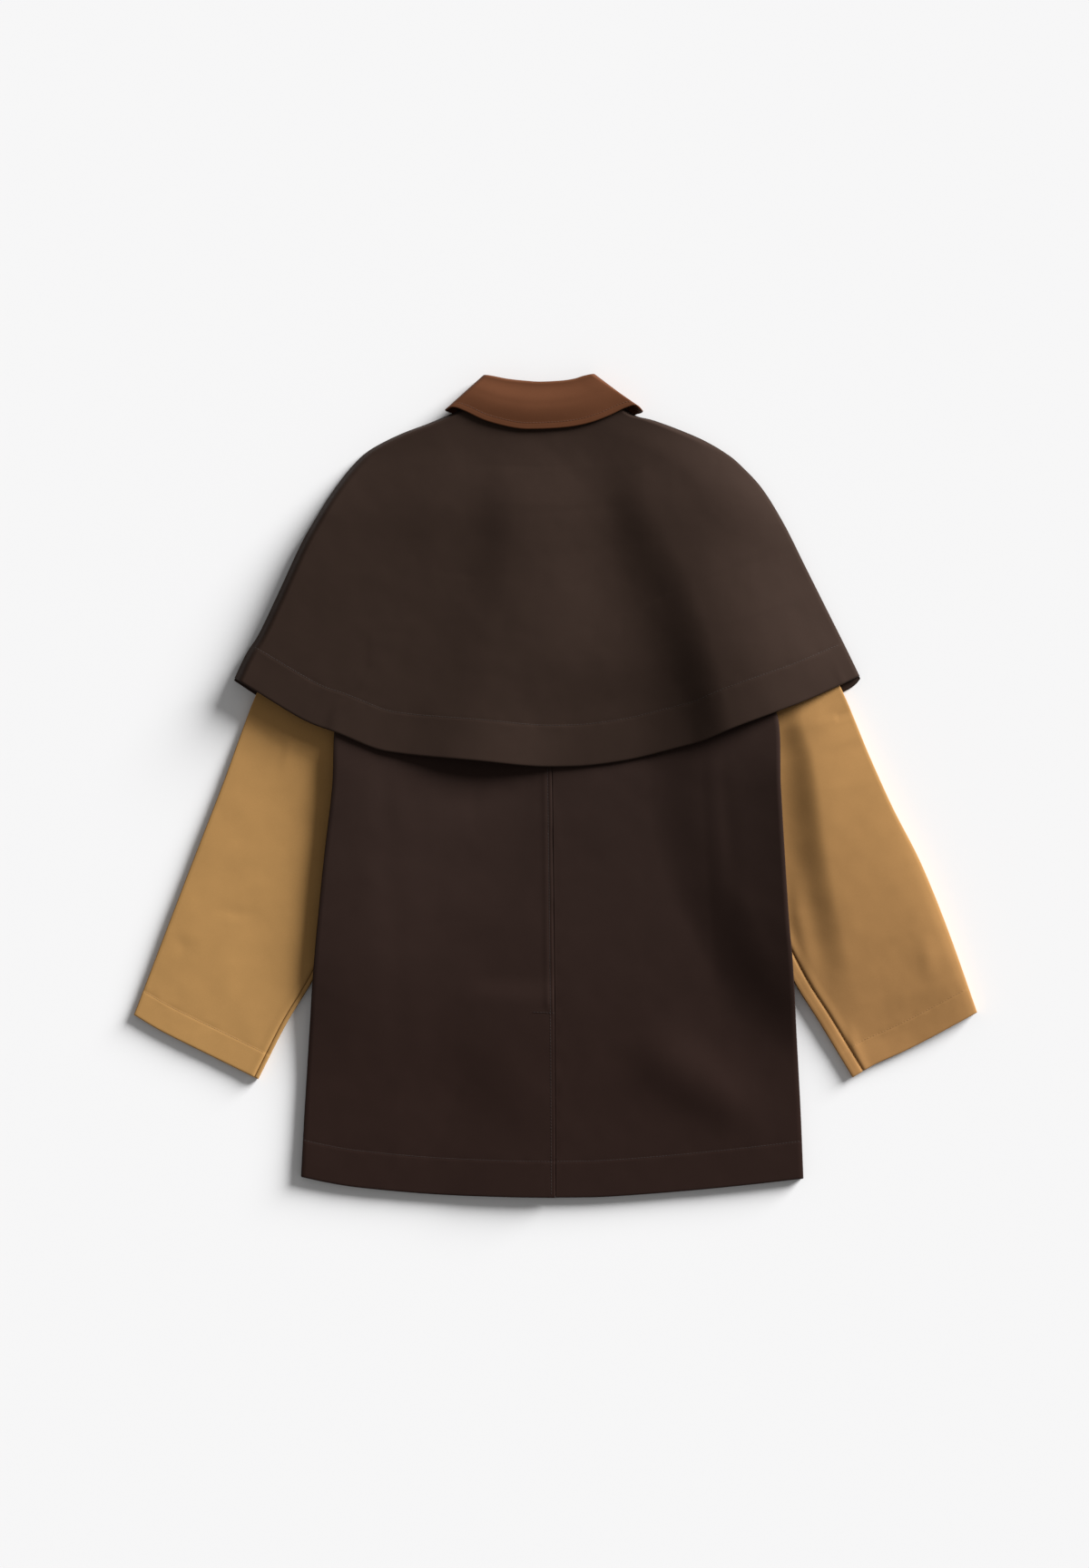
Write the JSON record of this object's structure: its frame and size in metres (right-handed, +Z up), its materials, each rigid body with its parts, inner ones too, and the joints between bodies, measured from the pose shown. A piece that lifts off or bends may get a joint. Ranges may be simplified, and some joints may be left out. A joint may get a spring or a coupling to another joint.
{
  "type": "caped coat",
  "caption": "Short flared coat in three colours of cloth, with a shoulder cape and a turned-down collar, laid flat and face down on a surface",
  "frame": {"origin": "on the surface that the coat lies on, under the middle of its outline", "axes": "+Z up from the surface, +Y from the hem towards the collar, +X to the wearer's right, which is the right of the back as it is seen from above"},
  "size_m": [0.928, 0.906, 0.038],
  "materials": {
    "dark_cloth": "very dark brown cotton twill, matt with a faint sheen",
    "tan_cloth": "tan cotton twill, matt with a faint sheen",
    "rust_cloth": "rust brown cotton twill, matt with a faint sheen"
  },
  "bodies": {
    "root": {"back_left": "dark_cloth", "back_right": "dark_cloth", "vent_underlap": "dark_cloth", "front_left": "dark_cloth", "front_right": "dark_cloth", "sleeve_left_back": "tan_cloth", "sleeve_left_front": "tan_cloth", "sleeve_right_back": "tan_cloth", "sleeve_right_front": "tan_cloth", "cape_back": "dark_cloth", "cape_front_left": "dark_cloth", "cape_front_right": "dark_cloth", "collar": "rust_cloth"}
  },
  "joints": []
}
